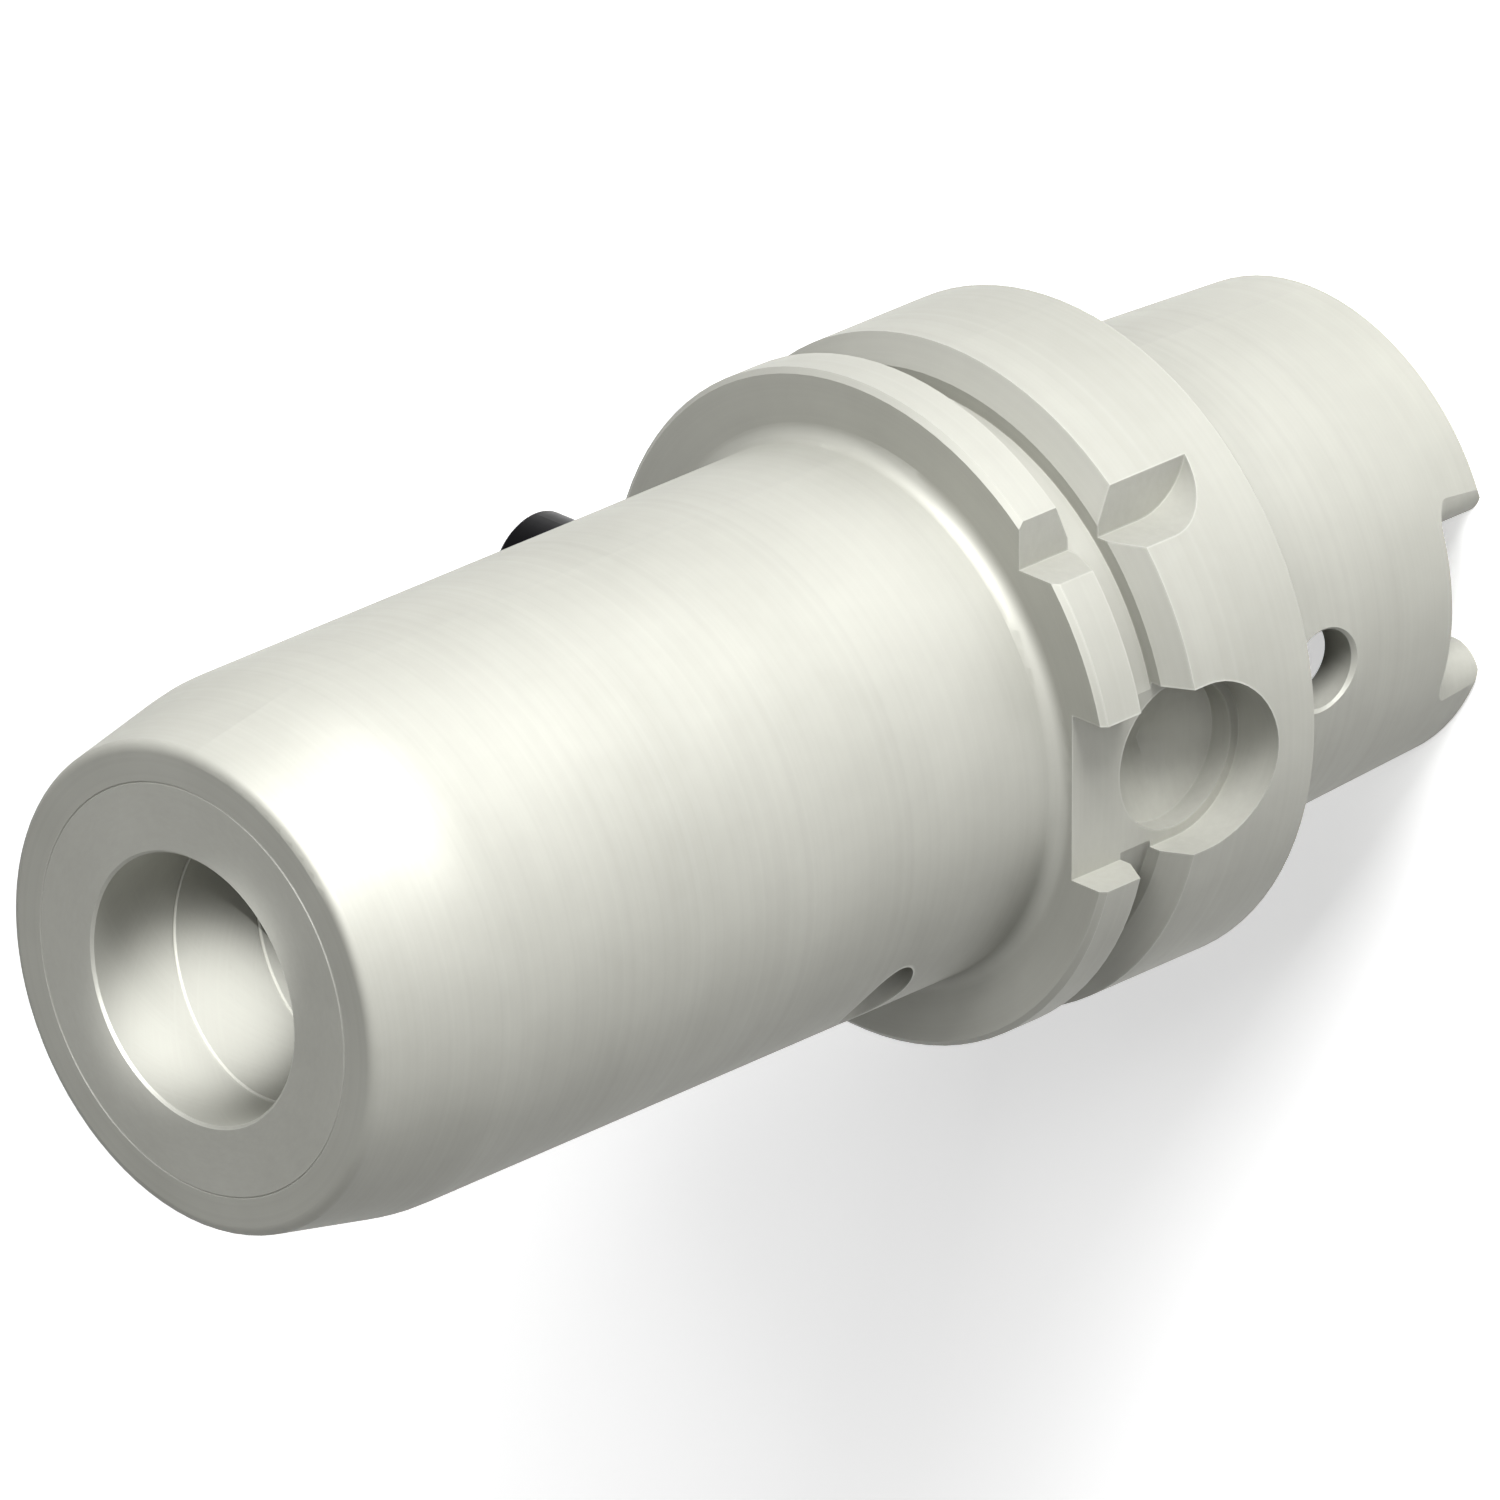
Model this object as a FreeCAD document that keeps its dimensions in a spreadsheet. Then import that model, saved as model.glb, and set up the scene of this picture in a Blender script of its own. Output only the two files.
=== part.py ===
"""Hydraulic expansion chuck with a hollow taper shank, as a parametric document.

Millimetres. The origin is the centre of the flange's rear face, which seats on
the spindle. +Z points along the tool axis to the nose, and the shank hangs below.
-Y is the side of the narrow drive slot, and +Y the side of the clamping screw.
"""
import FreeCAD, Part

import os

import Sketcher

SIZES = [
    ("nose_length", 108.0, "spindle face to nose face"),
    ("body_dia", 50.0, "turned body"),
    ("nose_drop", 2.5, "body's radius less the cone's at the nose face"),
    ("nose_angle", 11.0, "half angle of the nose cone"),
    ("nose_round", 1.0, "round at the nose face"),
    ("shoulder_round", 18.0, "round between cone and body"),
    ("flange_dia", 63.0, "flange"),
    ("flange_width", 26.0, "flange"),
    ("flange_chamfer", 0.5, "both edges of the flange"),
    ("flange_fillet", 1.5, "body to flange"),
    ("groove_offset", 18.0, "spindle face to the middle of the gripper groove"),
    ("groove_flank", 30.0, "half angle of the gripper groove"),
    ("groove_pin_dia", 7.0, "gauge pins in the gripper groove"),
    ("groove_pin_reach", 4.65, "gauge pins beyond the flange"),
    ("groove_depth", 4.0, "floor of the gripper groove below the flange"),
    ("groove_floor_width", 3.75, "floor of the gripper groove"),
    ("taper_dia", 48.0, "taper at its gauge plane"),
    ("taper_offset", 6.3, "spindle face to the taper's gauge plane"),
    ("taper_slope", 0.05, "radius lost for each millimetre of taper"),
    ("shank_length", 32.0, "spindle face to the end of the shank"),
    ("shank_chamfer", 0.5, "outer edge of the shank's end"),
    ("relief_width", 1.0, "recess in the flange's rear face round the taper"),
    ("relief_depth", 0.2, "recess in the flange's rear face round the taper"),
    ("mouth_dia", 34.0, "mouth of the hollow shank"),
    ("mouth_chamfer", 1.5, "mouth of the hollow shank"),
    ("clamp_cone_offset", 18.13, "spindle face to the clamping cone's small end"),
    ("clamp_cone_angle", 30.0, "clamping cone"),
    ("chamber_dia", 40.0, "clamping chamber in the shank"),
    ("chamber_depth", 10.0, "spindle face to the chamber's floor"),
    ("tube_thread_dia", 17.0, "core of the coolant tube's thread"),
    ("tube_thread_depth", 15.0, "coolant tube's thread"),
    ("coolant_bore_dia", 7.0, "coolant way between the threads"),
    ("drive_notch_width", 12.54, "drive notches at the shank's end"),
    ("drive_notch_depth", 6.0, "drive notches at the shank's end"),
    ("drive_notch_round", 3.1, "outer edges of the drive notches"),
    ("drive_notch_corner", 1.5, "corners of the drive notches' floors"),
    ("access_hole_dia", 7.5, "access holes through the taper"),
    ("access_hole_offset", 9.0, "spindle face to the access holes"),
    ("access_hole_chamfer", 0.6, "access holes"),
    ("slot_depth", 5.0, "floors of the drive slots below the flange"),
    ("slot_end", 5.0, "spindle face to the ends of slots and index notch"),
    ("front_slot_width", 16.0, "narrow drive slot"),
    ("rear_slot_width", 18.0, "wide drive slot"),
    ("index_notch_depth", 3.4, "root of the index notch below the flange"),
    ("index_cutter_dia", 12.0, "cutter of the index notch"),
    ("balance_hole_dia", 14.0, "balancing hole in the narrow slot"),
    ("balance_hole_depth", 2.25, "balancing hole, to the edge of its cone"),
    ("balance_hole_point", 140.0, "cone of the balancing hole"),
    ("tool_bore_dia", 25.0, "clamping bore"),
    ("tool_bore_depth", 57.0, "clamping bore"),
    ("bore_chamfer", 0.25, "mouth of the clamping bore"),
    ("collar_step", 2.95, "sleeve's collar beyond its lands"),
    ("collar_length", 7.0, "sleeve's collar"),
    ("sleeve_wall", 3.5, "sleeve's wall at its lands"),
    ("chamber_gap", 1.0, "depth of the oil chambers below the lands"),
    ("seam_chamfer", 0.1, "both sides of the seam on the nose face"),
    ("oil_groove_pitch", 10.0, "helical groove in the clamping bore"),
    ("oil_groove_length", 50.0, "helical groove in the clamping bore"),
    ("oil_groove_start", 4.5, "helical groove above the bore's floor"),
    ("oil_groove_width", 0.45, "helical groove in the clamping bore"),
    ("oil_groove_depth", 0.2, "helical groove in the clamping bore"),
    ("front_land", 5.0, "sleeve's land behind the collar"),
    ("middle_land", 5.0, "sleeve's land between the chambers"),
    ("rear_land", 6.0, "sleeve's land at its rear end"),
    ("bridge_width", 6.0, "flat that joins the two chambers"),
    ("stop_thread_dia", 10.0, "length stop's thread"),
    ("stop_thread_depth", 18.0, "length stop's thread"),
    ("stop_length", 16.0, "length stop"),
    ("stop_key", 5.0, "hexagon in the length stop"),
    ("stop_key_depth", 6.0, "hexagon in the length stop"),
    ("stop_coolant_dia", 3.0, "coolant way through the length stop"),
    ("cross_height", 42.0, "spindle face to the plane of the cross bores"),
    ("piston_offset", 11.1, "axis to the piston bore, sideways"),
    ("piston_bore_dia", 9.0, "piston bore"),
    ("piston_bore_end", 16.0, "piston bore's far end, past the axis"),
    ("drill_point", 118.0, "cones left by twist drills"),
    ("screw_seat_dia", 10.5, "counterbore for the clamping screw's head"),
    ("screw_seat_floor", 14.5, "axis to the counterbore's floor, along the bore"),
    ("screw_thread_dia", 10.06, "clamping screw's threaded hole"),
    ("screw_thread_end", 6.5, "axis to the end of the threaded hole"),
    ("screw_proud", 2.4, "clamping screw's head beyond the body, released"),
    ("screw_head_length", 5.0, "clamping screw's head"),
    ("screw_thread_length", 8.0, "clamping screw's thread"),
    ("screw_tip_length", 3.0, "clamping screw's plain tip"),
    ("screw_tip_dia", 7.6, "clamping screw's plain tip"),
    ("screw_edge", 0.4, "chamfers of the clamping screw"),
    ("screw_key", 5.0, "hexagon in the clamping screw"),
    ("screw_key_depth", 5.0, "hexagon in the clamping screw"),
    ("thread_clearance", 0.03, "radial, screws in their threads"),
    ("head_clearance", 0.05, "radial, clamping screw's head in its counterbore"),
    ("piston_clearance", 0.03, "radial, piston in its bore"),
    ("piston_length", 9.0, "piston"),
    ("piston_groove_dia", 5.6, "piston's groove for seal and ring"),
    ("piston_groove_length", 3.4, "piston's groove"),
    ("piston_nose_length", 1.2, "piston's nose in front of the groove"),
    ("seal_width", 2.2, "piston seal"),
    ("seal_lip", 0.6, "depth of the seal's lip groove"),
    ("seal_gap", 0.1, "play beside the seal and the ring"),
    ("bleed_offset", 18.1, "axis to the bleed bore, sideways"),
    ("bleed_bore_dia", 6.6, "bleed bore"),
    ("bleed_screw_length", 5.0, "bleed screw"),
    ("bleed_key", 3.0, "hexagon in the bleed screw"),
    ("bleed_key_depth", 2.5, "hexagon in the bleed screw"),
    ("ball_dia", 5.0, "sealing ball"),
    ("ball_place", 4.0, "axis to the sealing ball, along the bleed bore"),
    ("oil_way_dia", 2.5, "drilled oil ways"),
    ("oil_way_tilt", 3.5, "oil way to the sleeve, against the axis"),
    ("oil_way_reach", 8.0, "run of the oil way beside the rear chamber"),
]

doc = FreeCAD.newDocument("hydraulic_chuck")
sheet = doc.addObject("Spreadsheet::Sheet", "size")
for row, (alias, size, note) in enumerate(SIZES, start=1):
    sheet.set("A%d" % row, note)
    sheet.set("B%d" % row, str(size))
    sheet.setAlias("B%d" % row, alias)
doc.recompute()

# Formulas that several pieces share
COLLAR_SEAT = "(size.nose_length - size.collar_length)"
BORE_FLOOR = "(size.nose_length - size.tool_bore_depth)"
NOSE_RADIUS = "(size.body_dia / 2 - size.nose_drop)"
SHOULDER = "(size.nose_length - size.nose_drop / tan(size.nose_angle))"
LAND_RADIUS = "(size.tool_bore_dia / 2 + size.sleeve_wall)"
COLLAR_RADIUS = "(%s + size.collar_step)" % LAND_RADIUS
SLOT_FLOOR = "(size.flange_dia / 2 - size.slot_depth)"
TAPER_ROOT = "(size.taper_dia / 2 + size.taper_offset * size.taper_slope)"
TAPER_END = "(%s - size.shank_length * size.taper_slope)" % TAPER_ROOT
NOTCH_FLARE = "(size.drive_notch_width / 2 + size.drive_notch_round)"
NOTCH_SHELF = "sqrt(%s * %s - %s * %s)" % (TAPER_END, TAPER_END, NOTCH_FLARE, NOTCH_FLARE)
PIN_CENTRE = "(size.flange_dia / 2 + size.groove_pin_reach - size.groove_pin_dia / 2)"
GROOVE_APEX = "(%s - size.groove_pin_dia / 2 / sin(size.groove_flank))" % PIN_CENTRE
GROOVE_MOUTH = "((size.flange_dia / 2 - %s) * tan(size.groove_flank))" % GROOVE_APEX
GROOVE_KNEE = "(%s + size.groove_floor_width / 2 / tan(size.groove_flank))" % GROOVE_APEX
SCREW_RISE = "sqrt(size.body_dia * size.body_dia / 4 - size.piston_offset * size.piston_offset)"
SCREW_TOP = "(%s + size.screw_proud)" % SCREW_RISE
SCREW_LENGTH = "(size.screw_head_length + size.screw_thread_length + size.screw_tip_length)"
SCREW_TIP = "(%s - %s)" % (SCREW_TOP, SCREW_LENGTH)
SCREW_THREAD_RADIUS = "(size.screw_thread_dia / 2 - size.thread_clearance)"
PISTON_RADIUS = "(size.piston_bore_dia / 2 - size.piston_clearance)"
BALL_SEAT_APEX = "(size.ball_place - size.ball_dia / 2 / sin(size.drill_point / 2))"
BALL_SEAT_MOUTH = "(%s + size.bleed_bore_dia / 2 / tan(size.drill_point / 2))" % BALL_SEAT_APEX
BALL_SEAT_THROAT = "(%s + size.oil_way_dia / 2 / tan(size.drill_point / 2))" % BALL_SEAT_APEX
BLEED_SCREW_FOOT = "(size.ball_place + size.ball_dia / 2)"


def number(formula):
    """Value of a formula over the sheet's sizes."""
    return float(sheet.evalExpression(formula))


def origin_plane(body, role):
    """One of a body's own origin planes, found by its role."""
    return next(part for part in body.Origin.OriginFeatures if part.Role == role)


def new_sketch(body, name, role, offset="0"):
    """Empty sketch on an origin plane, moved along the plane's normal by a formula."""
    sketch = body.newObject("Sketcher::SketchObject", name)
    sketch.AttachmentSupport = (origin_plane(body, role), [""])
    sketch.MapMode = "FlatFace"
    sketch.AttachmentOffset = FreeCAD.Placement(FreeCAD.Vector(0, 0, number(offset)), FreeCAD.Rotation())
    sketch.setExpression(".AttachmentOffset.Base.z", offset)
    return sketch


def pin_point(sketch, edge, end, place):
    """Hold one end of an edge at a place given by two formulas; None leaves it free that way."""
    for kind, axis, formula in (("DistanceX", -2, place[0]), ("DistanceY", -1, place[1])):
        if formula is None:
            continue
        if formula == "0":
            sketch.addConstraint(Sketcher.Constraint("PointOnObject", edge, end, axis))
            continue
        index = sketch.addConstraint(Sketcher.Constraint(kind, -1, 1, edge, end, number(formula)))
        sketch.setExpression("Constraints[%d]" % index, formula)


def add_polygon(sketch, corners):
    """Closed outline of straight edges whose corners are pairs of formulas."""
    points = [FreeCAD.Vector(number(x), number(y), 0) for x, y in corners]
    first = sketch.GeometryCount
    for i, point in enumerate(points):
        sketch.addGeometry(Part.LineSegment(point, points[(i + 1) % len(points)]), False)
    for i, corner in enumerate(corners):
        following = first + (i + 1) % len(points)
        sketch.addConstraint(Sketcher.Constraint("Coincident", first + i, 2, following, 1))
        pin_point(sketch, first + i, 1, corner)


def add_axis(sketch, start, end):
    """Construction line between two places, used as an axis of revolution."""
    line = Part.LineSegment(
        FreeCAD.Vector(number(start[0]), number(start[1]), 0),
        FreeCAD.Vector(number(end[0]), number(end[1]), 0),
    )
    index = sketch.addGeometry(line, True)
    pin_point(sketch, index, 1, start)
    pin_point(sketch, index, 2, end)


def add_circle(sketch, centre, radius):
    """Circle with its centre and radius given by formulas."""
    middle = FreeCAD.Vector(number(centre[0]), number(centre[1]), 0)
    edge = sketch.addGeometry(Part.Circle(middle, FreeCAD.Vector(0, 0, 1), number(radius)), False)
    pin_point(sketch, edge, 3, centre)
    index = sketch.addConstraint(Sketcher.Constraint("Radius", edge, number(radius)))
    sketch.setExpression("Constraints[%d]" % index, radius)


def add_round_slot(sketch, middle, width, floor, top):
    """Slot outline, open at its top and closed by a half circle whose lowest point is at floor."""
    centre = (middle, "%s + (%s) / 2" % (floor, width))
    left = "%s - (%s) / 2" % (middle, width)
    right = "%s + (%s) / 2" % (middle, width)
    add_polygon(sketch, [(left, centre[1]), (right, centre[1]), (right, top), (left, top)])
    return centre


def turned(body, name, corners, role="XZ_Plane"):
    """Solid of revolution about the sketch's upright axis."""
    sketch = new_sketch(body, name + "_section", role)
    add_polygon(sketch, corners)
    feature = body.newObject("PartDesign::Revolution", name)
    feature.Profile = sketch
    feature.ReferenceAxis = (sketch, ["V_Axis"])
    feature.Angle = 360.0
    doc.recompute()
    return feature


def bored(body, name, corners, start, end, role, offset):
    """Cut of revolution about a line in the sketch: a stepped bore."""
    sketch = new_sketch(body, name + "_section", role, offset)
    add_polygon(sketch, corners)
    add_axis(sketch, start, end)
    feature = body.newObject("PartDesign::Groove", name)
    feature.Profile = sketch
    feature.ReferenceAxis = (sketch, ["Axis0"])
    feature.Angle = 360.0
    doc.recompute()
    return feature


def milled(body, name, sketch, length, outwards=False):
    """Pocket of a given length from its sketch, against the sketch's normal or along it."""
    feature = body.newObject("PartDesign::Pocket", name)
    feature.Profile = sketch
    feature.Length = number(length)
    feature.setExpression("Length", length)
    feature.Reversed = outwards
    doc.recompute()
    return feature


def edges_where(shape, test):
    """Names of the edges that pass a test."""
    return ["Edge%d" % index for index, edge in enumerate(shape.Edges, start=1) if test(edge)]


def ring_edge(radius, height):
    """Test for a full circle about Z with a given radius at a given height."""
    def test(edge):
        curve = edge.Curve
        return (
            isinstance(curve, Part.Circle)
            and abs(curve.Radius - radius) < 0.001
            and abs(curve.Center.z - height) < 0.001
        )
    return test


def rounded(body, name, base, edges, radius):
    """Fillet on named edges of a feature."""
    feature = body.newObject("PartDesign::Fillet", name)
    feature.Base = (base, edges)
    feature.Radius = number(radius)
    feature.setExpression("Radius", radius)
    doc.recompute()
    return feature


def new_body(label):
    """Empty body whose label names its file."""
    body = doc.addObject("PartDesign::Body", label)
    body.Label = label
    return body


def place(body, rotation, x, y, z):
    """Turn a body and put its origin at three formulas."""
    body.Placement = FreeCAD.Placement(FreeCAD.Vector(number(x), number(y), number(z)), rotation)
    for key, formula in (("x", x), ("y", y), ("z", z)):
        body.setExpression(".Placement.Base." + key, formula)


TO_PLUS_Y = FreeCAD.Rotation(FreeCAD.Vector(1, 0, 0), -90)
TO_MINUS_X = FreeCAD.Rotation(FreeCAD.Vector(0, 1, 0), -90)


def turn_body_blank(body):
    """Outside and inside of the chuck body, as one turned section."""
    flange = "size.flange_dia / 2"
    rim = "size.flange_dia / 2 - size.flange_chamfer"
    mouth_up = "size.groove_offset + %s" % GROOVE_MOUTH
    mouth_down = "size.groove_offset - %s" % GROOVE_MOUTH
    floor_up = "size.groove_offset + size.groove_floor_width / 2"
    floor_down = "size.groove_offset - size.groove_floor_width / 2"
    groove_floor = "size.flange_dia / 2 - size.groove_depth"
    relief = "%s + size.relief_width" % TAPER_ROOT
    shank_edge = "%s + size.shank_chamfer * size.taper_slope" % TAPER_END
    clamp_rise = "(size.chamber_dia - size.mouth_dia) / 2 / tan(size.clamp_cone_angle)"
    tube_end = "size.chamber_depth + size.tube_thread_depth"
    stop_end = "%s - size.stop_thread_depth" % BORE_FLOOR
    stop_hole = "size.stop_thread_dia / 2 + size.thread_clearance"
    corners = [
        ("%s + size.seam_chamfer" % COLLAR_RADIUS, "size.nose_length"),
        (NOSE_RADIUS, "size.nose_length"),
        ("size.body_dia / 2", SHOULDER),
        ("size.body_dia / 2", "size.flange_width"),
        (rim, "size.flange_width"),
        (flange, "size.flange_width - size.flange_chamfer"),
        (flange, mouth_up),
        (GROOVE_KNEE, floor_up),
        (groove_floor, floor_up),
        (groove_floor, floor_down),
        (GROOVE_KNEE, floor_down),
        (flange, mouth_down),
        (flange, "size.flange_chamfer"),
        (rim, "0"),
        (relief, "0"),
        (relief, "size.relief_depth"),
        ("%s + size.relief_depth * size.taper_slope" % TAPER_ROOT, "size.relief_depth"),
        (shank_edge, "-size.shank_length + size.shank_chamfer"),
        ("%s - size.shank_chamfer" % TAPER_END, "-size.shank_length"),
        ("size.mouth_dia / 2 + size.mouth_chamfer", "-size.shank_length"),
        ("size.mouth_dia / 2", "-size.shank_length + size.mouth_chamfer"),
        ("size.mouth_dia / 2", "-size.clamp_cone_offset"),
        ("size.chamber_dia / 2", "-size.clamp_cone_offset + %s" % clamp_rise),
        ("size.chamber_dia / 2", "size.chamber_depth"),
        ("size.tube_thread_dia / 2", "size.chamber_depth"),
        ("size.tube_thread_dia / 2", tube_end),
        ("size.coolant_bore_dia / 2", tube_end),
        ("size.coolant_bore_dia / 2", stop_end),
        (stop_hole, stop_end),
        (stop_hole, BORE_FLOOR),
        (LAND_RADIUS, BORE_FLOOR),
        (LAND_RADIUS, COLLAR_SEAT),
        (COLLAR_RADIUS, COLLAR_SEAT),
        (COLLAR_RADIUS, "size.nose_length - size.seam_chamfer"),
    ]
    blank = turned(body, "turned_blank", corners)
    nose = edges_where(blank.Shape, ring_edge(number(NOSE_RADIUS), number("size.nose_length")))
    softened = rounded(body, "nose_round", blank, nose, "size.nose_round")
    shoulder = edges_where(softened.Shape, ring_edge(number("size.body_dia / 2"), number(SHOULDER)))
    blended = rounded(body, "shoulder_round", softened, shoulder, "size.shoulder_round")
    root = edges_where(blended.Shape, ring_edge(number("size.body_dia / 2"), number("size.flange_width")))
    return rounded(body, "flange_fillet", blended, root, "size.flange_fillet")


def mill_flange(body):
    """Drive slots, index notch and balancing hole, all milled square to the axis."""
    top = "size.flange_width + 1"
    reach = "size.flange_dia / 2"
    slots = (("narrow_slot", "", "size.front_slot_width"), ("wide_slot", "-", "size.rear_slot_width"))
    for name, side, width in slots:
        outline = new_sketch(body, name + "_outline", "XZ_Plane", side + SLOT_FLOOR)
        centre = add_round_slot(outline, "0", width, "size.slot_end", top)
        milled(body, name, outline, reach, outwards=(side == ""))
        end = new_sketch(body, name + "_end_outline", "XZ_Plane", side + SLOT_FLOOR)
        add_circle(end, centre, "%s / 2" % width)
        milled(body, name + "_end", end, reach, outwards=(side == ""))
    root = "(size.flange_dia / 2 - size.index_notch_depth) * cos(45)"
    middle = "%s + size.index_cutter_dia / 2" % root
    notch = new_sketch(body, "index_notch_outline", "XZ_Plane", root)
    centre = add_round_slot(notch, middle, "size.index_cutter_dia", "size.slot_end", top)
    milled(body, "index_notch", notch, reach, outwards=True)
    end = new_sketch(body, "index_notch_end_outline", "XZ_Plane", root)
    add_circle(end, centre, "size.index_cutter_dia / 2")
    milled(body, "index_notch_end", end, reach, outwards=True)
    radius = "size.balance_hole_dia / 2"
    height = "size.slot_end + size.front_slot_width / 2"
    point = "%s / tan(size.balance_hole_point / 2)" % radius
    corners = [
        ("0", "-size.flange_dia / 2"),
        (radius, "-size.flange_dia / 2"),
        (radius, "-%s + size.balance_hole_depth" % SLOT_FLOOR),
        ("0", "-%s + size.balance_hole_depth + %s" % (SLOT_FLOOR, point)),
    ]
    sketch = new_sketch(body, "balance_hole_section", "XY_Plane", height)
    add_polygon(sketch, corners)
    hole = body.newObject("PartDesign::Groove", "balance_hole")
    hole.Profile = sketch
    hole.ReferenceAxis = (sketch, ["V_Axis"])
    hole.Angle = 360.0
    doc.recompute()


def mill_shank(body):
    """Drive notches at the shank's end and the access holes through its wall."""
    notches = body.newObject("PartDesign::Boolean", "drive_notches")
    notches.Type = "Cut"
    notches.setObjects([make_notch_cutter()])
    doc.recompute()
    radius = "size.access_hole_dia / 2"
    mouth = "%s + size.access_hole_chamfer" % radius
    wall = "(%s - size.access_hole_offset * size.taper_slope)" % TAPER_ROOT
    section = new_sketch(body, "access_hole_section", "XY_Plane", "-size.access_hole_offset")
    add_polygon(section, [
        ("0", "-size.mouth_dia / 4"),
        (radius, "-size.mouth_dia / 4"),
        (radius, "-%s + size.access_hole_chamfer" % wall),
        (mouth, "-" + wall),
        (mouth, "-size.flange_dia / 2"),
        ("0", "-size.flange_dia / 2"),
    ])
    hole = body.newObject("PartDesign::Groove", "access_hole")
    hole.Profile = section
    hole.ReferenceAxis = (section, ["V_Axis"])
    hole.Angle = 360.0
    doc.recompute()
    pair = body.newObject("PartDesign::PolarPattern", "opposite_access_hole")
    pair.Originals = [hole]
    pair.Axis = (section, ["N_Axis"])
    pair.Angle = 360.0
    pair.Occurrences = 2
    body.Tip = pair
    doc.recompute()


def make_notch_cutter():
    """Solid that both drive notches are cut with, rounded where their floors have corners."""
    cutter = new_body("drive_notch_cutter")
    outline = new_sketch(cutter, "drive_notch_outline", "XY_Plane", "-size.shank_length")
    add_notch_outline(outline)
    block = cutter.newObject("PartDesign::Pad", "drive_notch_block")
    block.Profile = outline
    block.Length = number("size.drive_notch_depth")
    block.setExpression("Length", "size.drive_notch_depth")
    doc.recompute()
    floor = number("size.drive_notch_depth - size.shank_length")
    shelf = number(NOTCH_SHELF)

    def at_floor(edge):
        box = edge.BoundBox
        return box.ZMin > floor - 0.001 and box.YMin > -shelf - 0.001 and box.YMax < shelf + 0.001

    corners = edges_where(block.Shape, at_floor)
    rounded(cutter, "drive_notch_corners", block, corners, "size.drive_notch_corner")
    return cutter


def add_notch_outline(sketch):
    """Both drive notches seen along the axis: straight flanks that flare out in arcs."""
    half = "size.drive_notch_width / 2"
    tangent = "(%s - size.drive_notch_round)" % NOTCH_SHELF
    outside = "size.flange_dia / 2"
    reach = "(%s + size.drive_notch_round)" % NOTCH_FLARE
    inwards = [(reach, outside), (reach, NOTCH_SHELF), (NOTCH_FLARE, NOTCH_SHELF), (half, tangent)]
    outwards = inwards[::-1]
    corners = [(x, "-" + y) for x, y in outwards]
    corners += [("-" + x, "-" + y) for x, y in inwards]
    corners += [("-" + x, y) for x, y in outwards]
    corners += inwards
    centres = {
        0: (NOTCH_FLARE, "-" + tangent),
        6: ("-" + NOTCH_FLARE, "-" + tangent),
        8: ("-" + NOTCH_FLARE, tangent),
        14: (NOTCH_FLARE, tangent),
    }
    points = [FreeCAD.Vector(number(x), number(y), 0) for x, y in corners]
    for i, point in enumerate(points):
        following = points[(i + 1) % len(points)]
        if i in centres:
            centre = FreeCAD.Vector(number(centres[i][0]), number(centres[i][1]), 0)
            inward = (point + following - centre * 2).normalize()
            middle = centre + inward * number("size.drive_notch_round")
            sketch.addGeometry(Part.Arc(point, middle, following), False)
        else:
            sketch.addGeometry(Part.LineSegment(point, following), False)
    for i in range(len(points)):
        sketch.addConstraint(Sketcher.Constraint("Coincident", i, 2, (i + 1) % len(points), 1))
    for i, (x, y) in enumerate(corners):
        on_arc = x.endswith(NOTCH_FLARE)
        pin_point(sketch, i, 1, (x, None if on_arc else y))
    for i, centre in centres.items():
        pin_point(sketch, i, 3, centre)


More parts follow.
